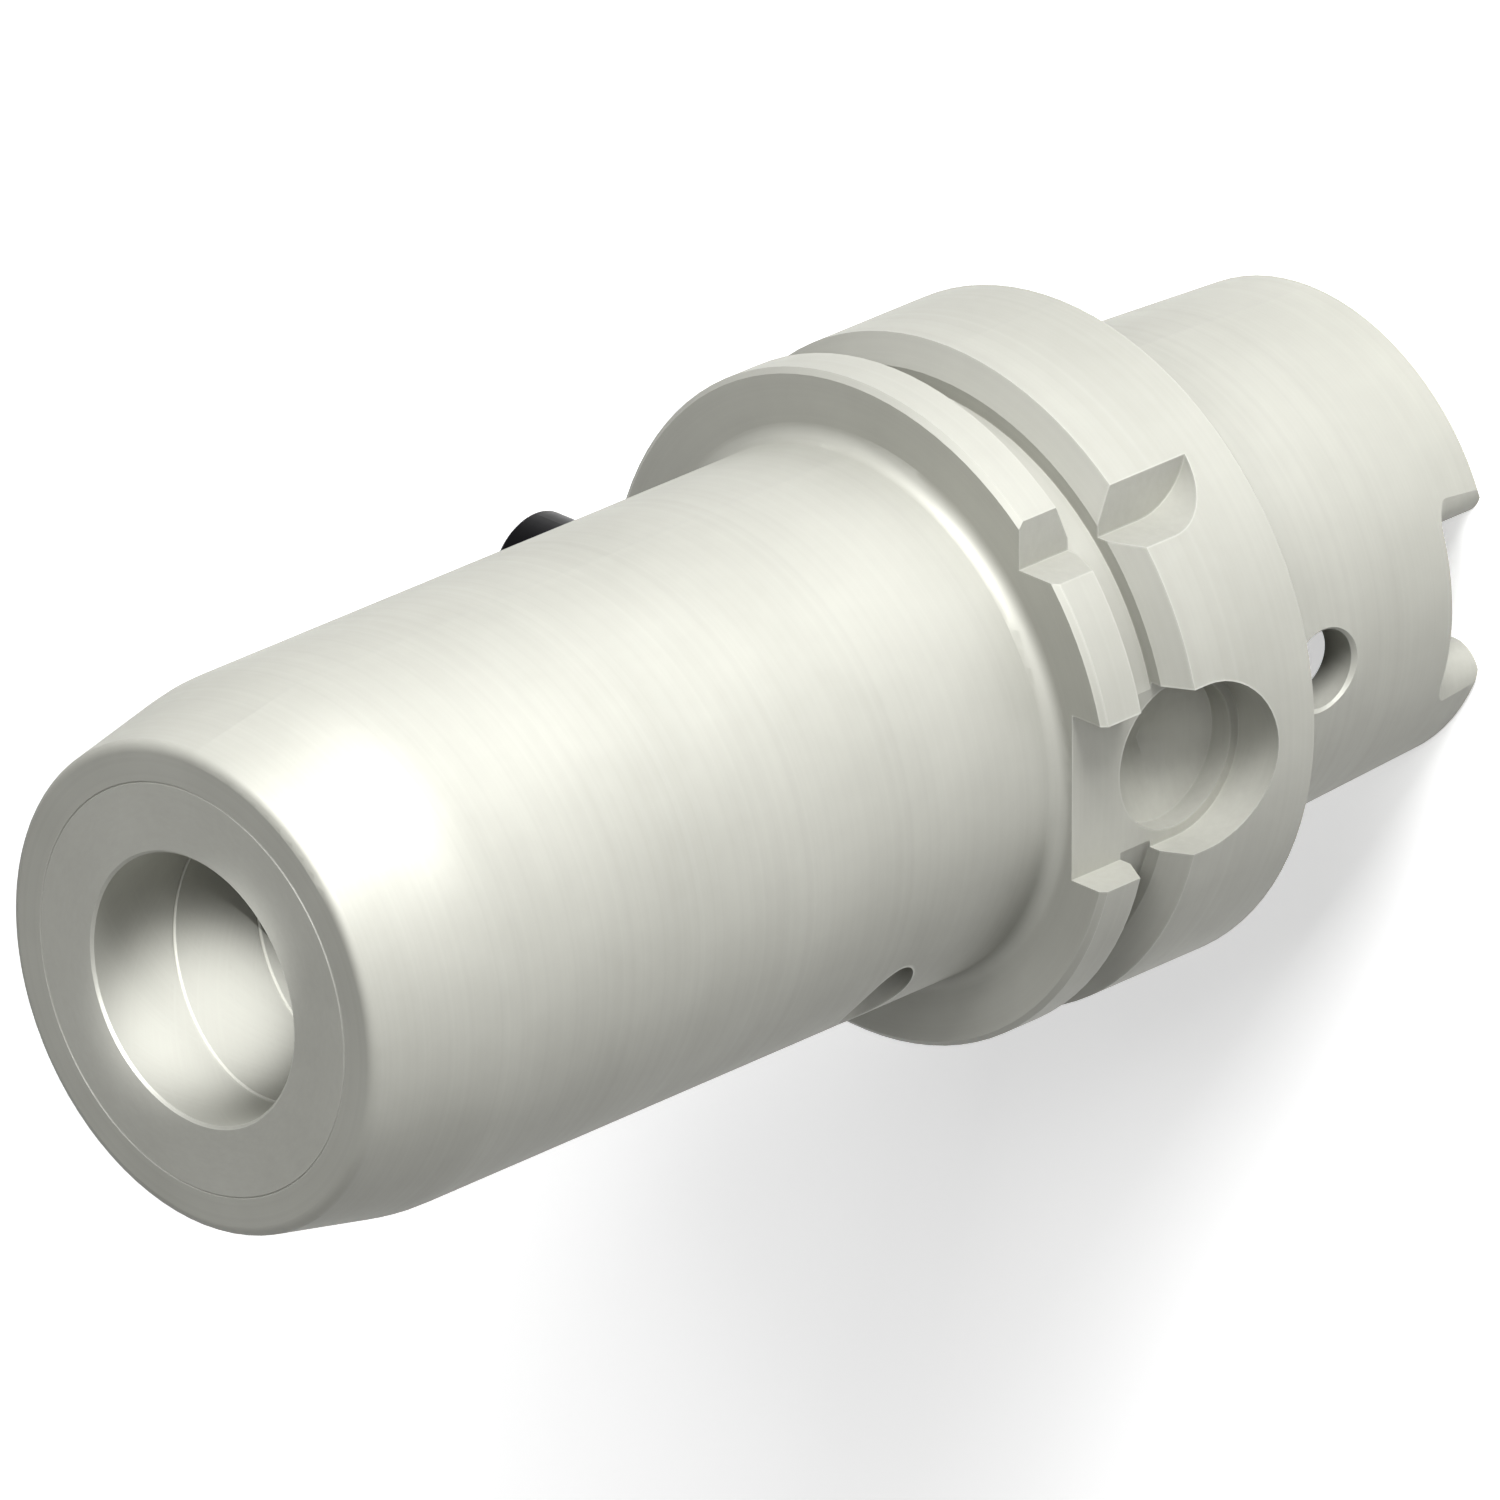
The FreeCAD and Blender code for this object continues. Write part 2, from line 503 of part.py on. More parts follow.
def drill_oil_circuit(body):
    """Piston bore, bleed bore and the oil way to the sleeve."""
    def across(radius):
        return "size.piston_offset + %s" % radius

    seat = "size.screw_seat_dia / 2"
    thread = "size.screw_thread_dia / 2"
    bore = "size.piston_bore_dia / 2"
    way = "size.oil_way_dia / 2"
    way_end = "-size.bleed_offset - %s" % way
    corners = [
        ("size.piston_offset", "size.body_dia / 2"),
        (across(seat), "size.body_dia / 2"),
        (across(seat), "size.screw_seat_floor"),
        (across(thread), "size.screw_seat_floor"),
        (across(thread), "size.screw_thread_end"),
        (across(bore), "size.screw_thread_end"),
        (across(bore), "-size.piston_bore_end"),
        (across(way), "-size.piston_bore_end"),
        (across(way), way_end),
        ("size.piston_offset", way_end),
    ]
    start = ("size.piston_offset", "size.body_dia / 2")
    end = ("size.piston_offset", way_end)
    bored(body, "piston_bore", corners, start, end, "XY_Plane", "size.cross_height")

    def beside(radius):
        return "-size.bleed_offset - %s" % radius

    bleed = "size.bleed_bore_dia / 2"
    corners = [
        ("-size.body_dia / 2", "-size.bleed_offset"),
        ("-size.body_dia / 2", beside(bleed)),
        ("-%s" % BALL_SEAT_MOUTH, beside(bleed)),
        ("-%s" % BALL_SEAT_THROAT, beside(way)),
        ("size.piston_offset", beside(way)),
        ("size.piston_offset", "-size.bleed_offset"),
    ]
    start = ("-size.body_dia / 2", "-size.bleed_offset")
    end = ("size.piston_offset", "-size.bleed_offset")
    bored(body, "bleed_bore", corners, start, end, "XY_Plane", "size.cross_height")

    oil_way = body.newObject("PartDesign::SubtractiveCylinder", "oil_way")
    height = "%s + size.rear_land + size.oil_way_reach - size.cross_height" % BORE_FLOOR
    length = "(%s) / cos(size.oil_way_tilt)" % height
    oil_way.Radius = number(way)
    oil_way.setExpression("Radius", way)
    oil_way.Height = number(length)
    oil_way.setExpression("Height", length)
    oil_way.Placement = FreeCAD.Placement(
        FreeCAD.Vector(0, number("-size.bleed_offset"), number("size.cross_height")),
        FreeCAD.Rotation(FreeCAD.Vector(1, 0, 0), -number("size.oil_way_tilt")),
    )
    oil_way.setExpression(".Placement.Base.y", "-size.bleed_offset")
    oil_way.setExpression(".Placement.Base.z", "size.cross_height")
    oil_way.setExpression(".Placement.Rotation.Angle", "size.oil_way_tilt")
    doc.recompute()


def make_chuck_body():
    """The chuck body, one turned and milled piece."""
    body = new_body("chuck_body")
    turn_body_blank(body)
    mill_flange(body)
    mill_shank(body)
    drill_oil_circuit(body)
    return body


def make_expansion_sleeve():
    """Thin sleeve with the clamping bore, and two turned recesses for the oil."""
    body = new_body("expansion_sleeve")
    bore = "size.tool_bore_dia / 2"
    mouth = "size.tool_bore_dia / 2 + size.bore_chamfer"
    land = LAND_RADIUS
    waist = "(%s - size.chamber_gap)" % LAND_RADIUS
    first = "%s - size.front_land" % COLLAR_SEAT
    last = "%s + size.rear_land" % BORE_FLOOR
    middle = "(%s + %s) / 2" % (first, last)
    corners = [
        (mouth, "size.nose_length"),
        ("%s - size.seam_chamfer" % COLLAR_RADIUS, "size.nose_length"),
        (COLLAR_RADIUS, "size.nose_length - size.seam_chamfer"),
        (COLLAR_RADIUS, COLLAR_SEAT),
        (land, COLLAR_SEAT),
        (land, first),
        (waist, first),
        (waist, "%s + size.middle_land / 2" % middle),
        (land, "%s + size.middle_land / 2" % middle),
        (land, "%s - size.middle_land / 2" % middle),
        (waist, "%s - size.middle_land / 2" % middle),
        (waist, last),
        (land, last),
        (land, BORE_FLOOR),
        (bore, BORE_FLOOR),
        (bore, "size.nose_length - size.bore_chamfer"),
    ]
    turned(body, "sleeve_blank", corners)
    flat = new_sketch(body, "bridge_outline", "XZ_Plane", waist)
    half = "size.bridge_width / 2"
    low = "%s - size.middle_land / 2" % middle
    high = "%s + size.middle_land / 2" % middle
    add_polygon(flat, [("-" + half, low), (half, low), (half, high), ("-" + half, high)])
    milled(body, "bridge_flat", flat, land, outwards=True)
    cut_oil_groove(body, bore)
    return body


def cut_oil_groove(body, bore):
    """Right-hand helical groove in the bore, which takes up oil from the tool's shank."""
    section = new_sketch(body, "oil_groove_section", "XZ_Plane")
    foot = "%s + size.oil_groove_start" % BORE_FLOOR
    floor = "%s + size.oil_groove_depth" % bore
    air = "%s - size.oil_groove_depth" % bore
    add_polygon(section, [
        (air, "%s - size.oil_groove_width * 2 / 3" % foot),
        (floor, "%s - size.oil_groove_width / 3" % foot),
        (floor, "%s + size.oil_groove_width / 3" % foot),
        (air, "%s + size.oil_groove_width * 2 / 3" % foot),
    ])
    groove = body.newObject("PartDesign::SubtractiveHelix", "oil_groove")
    groove.Profile = section
    groove.ReferenceAxis = (section, ["V_Axis"])
    groove.Mode = 0
    for key, formula in (("Pitch", "size.oil_groove_pitch"), ("Height", "size.oil_groove_length")):
        setattr(groove, key, number(formula))
        groove.setExpression(key, formula)
    doc.recompute()


def add_hexagon(sketch, across_flats):
    """Hexagon about the sketch's origin, two corners on its level axis."""
    corner = "%s / sqrt(3)" % across_flats
    side = "%s / sqrt(3) / 2" % across_flats
    flat = "%s / 2" % across_flats
    add_polygon(sketch, [
        (corner, "0"), (side, flat), ("-" + side, flat),
        ("-" + corner, "0"), ("-" + side, "-" + flat), (side, "-" + flat),
    ])


def make_clamping_screw():
    """Clamping screw: plain head with a hexagon, thread and plain tip."""
    body = new_body("clamping_screw")
    head = "size.screw_seat_dia / 2 - size.head_clearance"
    tip = "size.screw_tip_dia / 2"
    head_foot = "-size.screw_head_length"
    thread_foot = "%s - size.screw_thread_length" % head_foot
    tip_foot = "%s - size.screw_tip_length" % thread_foot
    corners = [
        ("0", "0"),
        ("%s - size.screw_edge" % head, "0"),
        (head, "-size.screw_edge"),
        (head, head_foot),
        (SCREW_THREAD_RADIUS, head_foot),
        (SCREW_THREAD_RADIUS, "%s + size.screw_edge" % thread_foot),
        ("%s - size.screw_edge" % SCREW_THREAD_RADIUS, thread_foot),
        (tip, thread_foot),
        (tip, "%s + size.screw_edge" % tip_foot),
        ("%s - size.screw_edge" % tip, tip_foot),
        ("0", tip_foot),
    ]
    turned(body, "screw_blank", corners)
    key = new_sketch(body, "screw_key_outline", "XY_Plane")
    add_hexagon(key, "size.screw_key")
    milled(body, "screw_key", key, "size.screw_key_depth")
    place(body, TO_PLUS_Y, "size.piston_offset", SCREW_TOP, "size.cross_height")
    return body


def make_piston():
    """Piston with a groove for its seal and backup ring."""
    body = new_body("pressure_piston")
    groove = "size.piston_groove_dia / 2"
    edge = "size.screw_edge"
    nose = "-size.piston_length"
    groove_foot = "%s + size.piston_nose_length" % nose
    groove_top = "%s + size.piston_groove_length" % groove_foot
    corners = [
        ("0", "0"),
        ("%s - %s" % (PISTON_RADIUS, edge), "0"),
        (PISTON_RADIUS, "-" + edge),
        (PISTON_RADIUS, groove_top),
        (groove, groove_top),
        (groove, groove_foot),
        (PISTON_RADIUS, groove_foot),
        (PISTON_RADIUS, "%s + %s" % (nose, edge)),
        ("%s - %s" % (PISTON_RADIUS, edge), nose),
        ("0", nose),
    ]
    turned(body, "piston_blank", corners)
    place(body, TO_PLUS_Y, "size.piston_offset", SCREW_TIP, "size.cross_height")
    return body


def groove_ring(label, corners):
    """Ring turned about the piston's axis and put where the piston is."""
    body = new_body(label)
    turned(body, label + "_blank", corners)
    place(body, TO_PLUS_Y, "size.piston_offset", SCREW_TIP, "size.cross_height")
    return body


def make_piston_seal():
    """Lip seal, open towards the oil."""
    inner = "size.piston_groove_dia / 2"
    outer = PISTON_RADIUS
    low = "-size.piston_length + size.piston_nose_length + size.seal_gap"
    high = "%s + size.seal_width" % low
    middle = "(%s + %s) / 2" % (inner, outer)
    return groove_ring("piston_seal", [
        (inner, low),
        ("%s - size.seal_lip / 2" % middle, low),
        (middle, "%s + size.seal_lip" % low),
        ("%s + size.seal_lip / 2" % middle, low),
        (outer, low),
        (outer, high),
        (inner, high),
    ])


def make_backup_ring():
    """Hard ring between the seal and the piston's shoulder."""
    inner = "size.piston_groove_dia / 2"
    groove_foot = "-size.piston_length + size.piston_nose_length"
    low = "%s + 2 * size.seal_gap + size.seal_width" % groove_foot
    high = "%s + size.piston_groove_length" % groove_foot
    return groove_ring("piston_backup_ring", [
        (inner, low), (PISTON_RADIUS, low), (PISTON_RADIUS, high), (inner, high),
    ])


def make_sealing_ball():
    """Ball on the cone of the bleed bore."""
    ball = doc.addObject("Part::Sphere", "sealing_ball")
    ball.Label = "sealing_ball"
    ball.setExpression("Radius", "size.ball_dia / 2")
    place(ball, FreeCAD.Rotation(), "-size.ball_place", "-size.bleed_offset", "size.cross_height")
    doc.recompute()
    return ball


def make_bleed_screw():
    """Headless screw that presses the ball on its seat."""
    body = new_body("bleed_screw")
    radius = "size.bleed_bore_dia / 2 - size.thread_clearance"
    edge = "size.screw_edge"
    top = "size.bleed_screw_length"
    turned(body, "bleed_screw_blank", [
        ("0", "0"),
        ("%s - %s" % (radius, edge), "0"),
        (radius, edge),
        (radius, "%s - %s" % (top, edge)),
        ("%s - %s" % (radius, edge), top),
        ("0", top),
    ])
    key = new_sketch(body, "bleed_key_outline", "XY_Plane", top)
    add_hexagon(key, "size.bleed_key")
    milled(body, "bleed_key", key, "size.bleed_key_depth")
    place(body, TO_MINUS_X, "-%s" % BLEED_SCREW_FOOT, "-size.bleed_offset", "size.cross_height")
    return body


def make_stop_screw():
    """Length stop behind the tool, with a coolant way through it."""
    body = new_body("stop_screw")
    radius = "size.stop_thread_dia / 2 - size.thread_clearance"
    edge = "size.screw_edge"
    foot = "-size.stop_length"
    turned(body, "stop_screw_blank", [
        ("0", "0"),
        ("%s - %s" % (radius, edge), "0"),
        (radius, "-" + edge),
        (radius, "%s + %s" % (foot, edge)),
        ("%s - %s" % (radius, edge), foot),
        ("0", foot),
    ])
    key = new_sketch(body, "stop_key_outline", "XY_Plane")
    add_hexagon(key, "size.stop_key")
    milled(body, "stop_key", key, "size.stop_key_depth")
    way = new_sketch(body, "stop_coolant_outline", "XY_Plane")
    add_circle(way, ("0", "0"), "size.stop_coolant_dia / 2")
    milled(body, "stop_coolant_way", way, "size.stop_length")
    place(body, FreeCAD.Rotation(), "0", "0", BORE_FLOOR)
    return body


pieces = [
    make_chuck_body(),
    make_expansion_sleeve(),
    make_clamping_screw(),
    make_piston(),
    make_piston_seal(),
    make_backup_ring(),
    make_bleed_screw(),
    make_sealing_ball(),
    make_stop_screw(),
]
doc.recompute()

for feature in doc.Objects:
    for state in feature.State:
        if state in ("Invalid", "Error"):
            raise RuntimeError("%s is %s" % (feature.Label, state))
for piece in pieces:
    if piece.Shape.isNull() or not piece.Shape.isValid() or len(piece.Shape.Solids) != 1:
        raise RuntimeError("%s isn't one valid solid" % piece.Label)

os.makedirs("parts", exist_ok=True)
for piece in pieces:
    piece.Shape.exportStep("parts/%s.step" % piece.Label)
    box = piece.Shape.BoundBox
    print("%-20s volume %10.2f  box %.2f %.2f %.2f .. %.2f %.2f %.2f" % (
        piece.Label, piece.Shape.Volume, box.XMin, box.YMin, box.ZMin, box.XMax, box.YMax, box.ZMax))
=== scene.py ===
"""Looks of a hydraulic expansion chuck: finishes for its pieces, a studio and a camera.

Lengths are in metres unless a name ends in mm. The frame is the part's own: the
origin is the centre of the flange's rear face and +Z points to the nose.
"""

import logging
import math
from dataclasses import dataclass
from enum import Enum
from typing import Any

import bmesh
import bpy
from mathutils import Matrix, Vector


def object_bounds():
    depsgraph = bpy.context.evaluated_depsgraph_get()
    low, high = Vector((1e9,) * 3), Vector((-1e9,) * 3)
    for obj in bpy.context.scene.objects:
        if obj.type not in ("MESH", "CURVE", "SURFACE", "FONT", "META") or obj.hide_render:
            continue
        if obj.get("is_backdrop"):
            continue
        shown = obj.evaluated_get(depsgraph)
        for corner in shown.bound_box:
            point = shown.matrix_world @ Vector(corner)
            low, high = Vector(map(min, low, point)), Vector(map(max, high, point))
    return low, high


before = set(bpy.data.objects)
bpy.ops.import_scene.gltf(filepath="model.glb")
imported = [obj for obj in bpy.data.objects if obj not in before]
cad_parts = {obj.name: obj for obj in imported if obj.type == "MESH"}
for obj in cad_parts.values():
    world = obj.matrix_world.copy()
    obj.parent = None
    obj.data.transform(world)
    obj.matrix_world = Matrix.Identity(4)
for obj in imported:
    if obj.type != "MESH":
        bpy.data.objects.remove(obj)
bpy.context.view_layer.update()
log = logging.getLogger("chuck")

MM_PER_M = 1000
WHITE = (1.0, 1.0, 1.0, 1.0)


def linear(code: str) -> tuple[float, float, float, float]:
    """Turn an sRGB hex colour into linear light.

    Args:
        code: Six hex digits, with or without a leading #.

    Returns:
        Red, green, blue and an alpha of 1.
    """
    values = [int(code.lstrip("#")[i:i + 2], 16) / 255 for i in (0, 2, 4)]
    red, green, blue = (v / 12.92 if v <= 0.04045 else ((v + 0.055) / 1.055) ** 2.4 for v in values)
    return (red, green, blue, 1.0)


def direction(azimuth: float, elevation: float) -> Vector:
    """Unit vector towards an azimuth and elevation in degrees."""
    turn, rise = math.radians(azimuth), math.radians(elevation)
    return Vector((math.cos(turn) * math.cos(rise), math.sin(turn) * math.cos(rise), math.sin(rise)))


def add_node(
    tree: bpy.types.NodeTree,
    kind: str,
    settings: dict[Any, Any] | None = None,
    links: dict[Any, bpy.types.NodeSocket] | None = None,
) -> bpy.types.Node:
    """Add a node with its settings and links.

    Args:
        tree: The node tree that gets the node.
        kind: The node's type.
        settings: Values by attribute name, or by input name or number.
        links: Output sockets by input name or number.

    Returns:
        The new node.
    """
    node = tree.nodes.new(kind)
    for key, value in (settings or {}).items():
        if isinstance(key, int) or key in node.inputs:
            node.inputs[key].default_value = value
        else:
            setattr(node, key, value)
    for key, socket in (links or {}).items():
        tree.links.new(socket, node.inputs[key])
    return node


def empty_material(name: str) -> bpy.types.Material:
    """A new material whose node tree holds nothing yet."""
    material = bpy.data.materials.new(name)
    material.use_nodes = True
    material.node_tree.nodes.clear()
    return material


class Lay(Enum):
    """The way that a tool's marks run on a surface."""

    TURNED = "rings about the piece's own axis"
    GROUND = "short scratches round the piece"
    HONED = "two sets of scratches that cross"
    LAPPED = "an even grain with no direction"


# Metres of drift round the piece, and of climb along it, for each radian of a mark's run.
# A climb of 7.2 mm a radian is 30 degrees on the bore's radius of 12.5 mm
LAY_SLOPES = {
    Lay.TURNED: ((0.0, 0.0),),
    Lay.GROUND: ((0.0004, 0.0),),
    Lay.HONED: ((0.0003, 0.0072), (0.0003, -0.0072)),
}
# A tool's marks are fine and sharp, so they get little detail of their own
MARK_NOISE = {"Detail": 2.0, "Roughness": 0.6}
MARK_RELIEF = 0.4
# A handled steel part's faint stains are a finger or so wide and ragged
STAIN_MM = 22.0
STAIN_NOISE = {"Detail": 4.0, "Roughness": 0.6}
# How far the marks' height shifts the colour and roughness, and where the shift starts and ends
MARK_TONE = 0.35
TONE_START, TONE_END = 0.45, 1.05
# Cosine of the turn between the surface and its rounded edge where wear starts and where it is full
WEAR_START, WEAR_FULL = 0.985, 0.86
# The stain's value where an edge is hardly rubbed and where it is fully rubbed, and the least wear
WEAR_BREAK_START, WEAR_BREAK_END, LEAST_WEAR = 0.38, 0.64, 0.05
WEAR_SAMPLES = 4
# Rubbed edges are this much smoother
POLISH_BY_WEAR = 0.14


@dataclass(frozen=True)
class MetalFinish:
    """A bare or blackened metal with the marks of its machining and edges rubbed by handling."""

    name: str
    colour: str
    shade: str
    worn: str
    roughness: float
    roughness_spread: float
    mark_mm: float
    mark_depth_mm: float
    lay: Lay
    worn_edge_mm: float
    metallic: float = 1.0
    axis_at: tuple[float, float, float] = (0.0, 0.0, 0.0)
    axis_turn: tuple[float, float, float] = (0.0, 0.0, 0.0)

    def build(self) -> bpy.types.Material:
        """Make the material.

        Returns:
            The material, with colour, roughness and marks that vary over the surface.
        """
        material = empty_material(self.name)
        tree = material.node_tree
        place = self._placed(tree)
        marks = self._marks(tree, place)
        stain = add_node(
            tree, "ShaderNodeTexNoise", {"Scale": MM_PER_M / STAIN_MM, **STAIN_NOISE}, {"Vector": place}
        ).outputs[0]
        worn = self._worn(tree, stain)
        tone = add_node(
            tree, "ShaderNodeMath", {"operation": "MULTIPLY_ADD", 1: MARK_TONE, "use_clamp": True},
            {0: marks, 2: stain},
        )
        bare = add_node(
            tree, "ShaderNodeMapRange", {"From Min": TONE_START, "From Max": TONE_END},
            {"Value": tone.outputs[0]},
        )
        colour = add_node(
            tree, "ShaderNodeMix",
            {"data_type": "RGBA", 6: linear(self.colour), 7: linear(self.shade)},
            {0: bare.outputs[0]},
        )
        rubbed = add_node(
            tree, "ShaderNodeMix", {"data_type": "RGBA", 7: linear(self.worn)},
            {0: worn, 6: colour.outputs[2]},
        )
        spread = add_node(
            tree, "ShaderNodeMapRange",
            {
                "To Min": self.roughness - self.roughness_spread,
                "To Max": self.roughness + self.roughness_spread,
            },
            {"Value": bare.outputs[0]},
        )
        roughness = add_node(
            tree, "ShaderNodeMath", {"operation": "MULTIPLY_ADD", 1: -POLISH_BY_WEAR},
            {0: worn, 2: spread.outputs[0]},
        )
        bump = add_node(
            tree, "ShaderNodeBump", {"Strength": MARK_RELIEF, "Distance": self.mark_depth_mm / MM_PER_M},
            {"Height": marks},
        )
        shader = add_node(
            tree, "ShaderNodeBsdfPrincipled", {"Metallic": self.metallic},
            {"Base Color": rubbed.outputs[2], "Roughness": roughness.outputs[0], "Normal": bump.outputs[0]},
        )
        add_node(tree, "ShaderNodeOutputMaterial", {}, {"Surface": shader.outputs[0]})
        return material

    def _placed(self, tree: bpy.types.NodeTree) -> bpy.types.NodeSocket:
        """Object coordinates, moved and turned so that the piece's axis is Z."""
        where = add_node(tree, "ShaderNodeTexCoord")
        mapping = add_node(
            tree, "ShaderNodeMapping",
            {"vector_type": "TEXTURE", "Location": self.axis_at, "Rotation": self.axis_turn},
            {"Vector": where.outputs["Object"]},
        )
        return mapping.outputs[0]

    def _worn(self, tree: bpy.types.NodeTree, stain: bpy.types.NodeSocket) -> bpy.types.NodeSocket:
        """Where handling has rubbed the edges, from 0 to 1.

        Args:
            tree: The material's node tree.
            stain: A slow noise that breaks the rubbed line up.

        Returns:
            The socket that holds the wear.
        """
        rounded = add_node(
            tree, "ShaderNodeBevel", {"samples": WEAR_SAMPLES, "Radius": self.worn_edge_mm / MM_PER_M}
        )
        sharp = add_node(tree, "ShaderNodeNewGeometry")
        facing = add_node(
            tree, "ShaderNodeVectorMath", {"operation": "DOT_PRODUCT"},
            {0: rounded.outputs[0], 1: sharp.outputs["Normal"]},
        )
        edge = add_node(
            tree, "ShaderNodeMapRange", {"From Min": WEAR_START, "From Max": WEAR_FULL},
            {"Value": facing.outputs["Value"]},
        )
        broken = add_node(
            tree, "ShaderNodeMapRange",
            {"From Min": WEAR_BREAK_START, "From Max": WEAR_BREAK_END, "To Min": LEAST_WEAR},
            {"Value": stain},
        )
        worn = add_node(
            tree, "ShaderNodeMath", {"operation": "MULTIPLY"}, {0: edge.outputs[0], 1: broken.outputs[0]}
        )
        return worn.outputs[0]

    def _marks(self, tree: bpy.types.NodeTree, place: bpy.types.NodeSocket) -> bpy.types.NodeSocket:
        """Height of the tool's marks, from 0 to 1.

        Args:
            tree: The material's node tree.
            place: Coordinates whose Z is the piece's axis.

        Returns:
            The socket that holds the height.
        """
        grain = {"Scale": MM_PER_M / self.mark_mm, **MARK_NOISE}
        if self.lay is Lay.LAPPED:
            return add_node(tree, "ShaderNodeTexNoise", grain, {"Vector": place}).outputs[0]
        split = add_node(tree, "ShaderNodeSeparateXYZ", {}, {0: place})
        flat = add_node(tree, "ShaderNodeCombineXYZ", {}, {0: split.outputs[0], 1: split.outputs[1]})
        radius = add_node(tree, "ShaderNodeVectorMath", {"operation": "LENGTH"}, {0: flat.outputs[0]})
        turn = add_node(
            tree, "ShaderNodeMath", {"operation": "ARCTAN2"}, {0: split.outputs[1], 1: split.outputs[0]}
        )
        sets = []
        for drift, climb in LAY_SLOPES[self.lay]:
            along = add_node(
                tree, "ShaderNodeMath", {"operation": "MULTIPLY_ADD", 1: climb},
                {0: turn.outputs[0], 2: split.outputs[2]},
            )
            around = add_node(
                tree, "ShaderNodeMath", {"operation": "MULTIPLY", 1: drift}, {0: turn.outputs[0]}
            )
            run = add_node(
                tree, "ShaderNodeCombineXYZ", {},
                {0: radius.outputs["Value"], 1: around.outputs[0], 2: along.outputs[0]},
            )
            sets.append(add_node(tree, "ShaderNodeTexNoise", grain, {"Vector": run.outputs[0]}).outputs[0])
        if len(sets) == 1:
            return sets[0]
        crossed = add_node(tree, "ShaderNodeMath", {"operation": "MINIMUM"}, {0: sets[0], 1: sets[1]})
        return crossed.outputs[0]


# A moulded or turned soft piece: a fine even grain
SOFT_NOISE_DETAIL = 3.0
SOFT_RELIEF = 0.3
SOFT_GRAIN_DEPTH_MM = 0.02


@dataclass(frozen=True)
class SoftFinish:
    """A moulded rubber or turned plastic."""

    name: str
    colour: str
    shade: str
    roughness: float
    grain_mm: float

    def build(self) -> bpy.types.Material:
        """Make the material."""
        material = empty_material(self.name)
        tree = material.node_tree
        where = add_node(tree, "ShaderNodeTexCoord")
        noise = add_node(
            tree, "ShaderNodeTexNoise", {"Scale": MM_PER_M / self.grain_mm, "Detail": SOFT_NOISE_DETAIL},
            {0: where.outputs["Object"]},
        )
        colour = add_node(
            tree, "ShaderNodeMix",
            {"data_type": "RGBA", 6: linear(self.colour), 7: linear(self.shade)},
            {0: noise.outputs[0]},
        )
        bump = add_node(
            tree, "ShaderNodeBump", {"Strength": SOFT_RELIEF, "Distance": SOFT_GRAIN_DEPTH_MM / MM_PER_M},
            {"Height": noise.outputs[0]},
        )
        shader = add_node(
            tree, "ShaderNodeBsdfPrincipled", {"Roughness": self.roughness},
            {"Base Color": colour.outputs[2], "Normal": bump.outputs[0]},
        )
        add_node(tree, "ShaderNodeOutputMaterial", {}, {"Surface": shader.outputs[0]})
        return material


# Axes of the cross bore, which holds the piston and its screw, and of the bleed bore
CROSS_BORE_AT = (0.0111, 0.0, 0.042)
BLEED_BORE_AT = (0.0, -0.0181, 0.042)
ACROSS_Y = (math.radians(-90), 0.0, 0.0)
ACROSS_X = (0.0, math.radians(-90), 0.0)

# Case-hardened steel, hard-turned and then oiled: grey, a little warm, with a satin sheen. The real
# feed marks are about 0.1 mm apart, too fine to show, so they are drawn 0.8 mm wide. The oil film
# dulls the bare metal, so its metallic value is matched to the object at a half
BODY_STEEL = MetalFinish(
    "hardened_steel_turned", colour="#9C9C95", shade="#8F8F88", worn="#ACACA6",
    roughness=0.62, roughness_spread=0.06, mark_mm=0.8, mark_depth_mm=0.006, lay=Lay.TURNED,
    worn_edge_mm=0.35, metallic=0.5)
# The same steel, honed in the bore: crossing scratches at 30 degrees, drawn 0.5 mm wide, not 0.05 mm
SLEEVE_STEEL = MetalFinish(
    "hardened_steel_honed", colour="#A0A099", shade="#93938C", worn="#AEAEA8",
    roughness=0.60, roughness_spread=0.05, mark_mm=0.5, mark_depth_mm=0.003, lay=Lay.HONED,
    worn_edge_mm=0.25, metallic=0.5)
# Black-oxidised screw steel: nearly black with a soft oily highlight and greyer edges
BLACK_SCREW = MetalFinish(
    "blackened_steel_screw", colour="#151517", shade="#0F0F11", worn="#4A4A4B",
    roughness=0.40, roughness_spread=0.05, mark_mm=0.3, mark_depth_mm=0.004, lay=Lay.TURNED,
    worn_edge_mm=0.30, axis_at=CROSS_BORE_AT, axis_turn=ACROSS_Y)
BLACK_BLEED = MetalFinish(
    "blackened_steel_bleed", colour="#19191B", shade="#111113", worn="#4A4A4B",
    roughness=0.40, roughness_spread=0.05, mark_mm=0.3, mark_depth_mm=0.004, lay=Lay.TURNED,
    worn_edge_mm=0.25, axis_at=BLEED_BORE_AT, axis_turn=ACROSS_X)
BLACK_STOP = MetalFinish(
    "blackened_steel_stop", colour="#1B1B1D", shade="#131315", worn="#4E4E4F",
    roughness=0.40, roughness_spread=0.05, mark_mm=0.3, mark_depth_mm=0.004, lay=Lay.TURNED,
    worn_edge_mm=0.30)
# Ground piston steel: brighter, with short scratches round it
PISTON_STEEL = MetalFinish(
    "ground_steel_piston", colour="#BDBDBA", shade="#ADADAA", worn="#CFCFCC",
    roughness=0.24, roughness_spread=0.05, mark_mm=0.15, mark_depth_mm=0.002, lay=Lay.GROUND,
    worn_edge_mm=0.25, axis_at=CROSS_BORE_AT, axis_turn=ACROSS_Y)
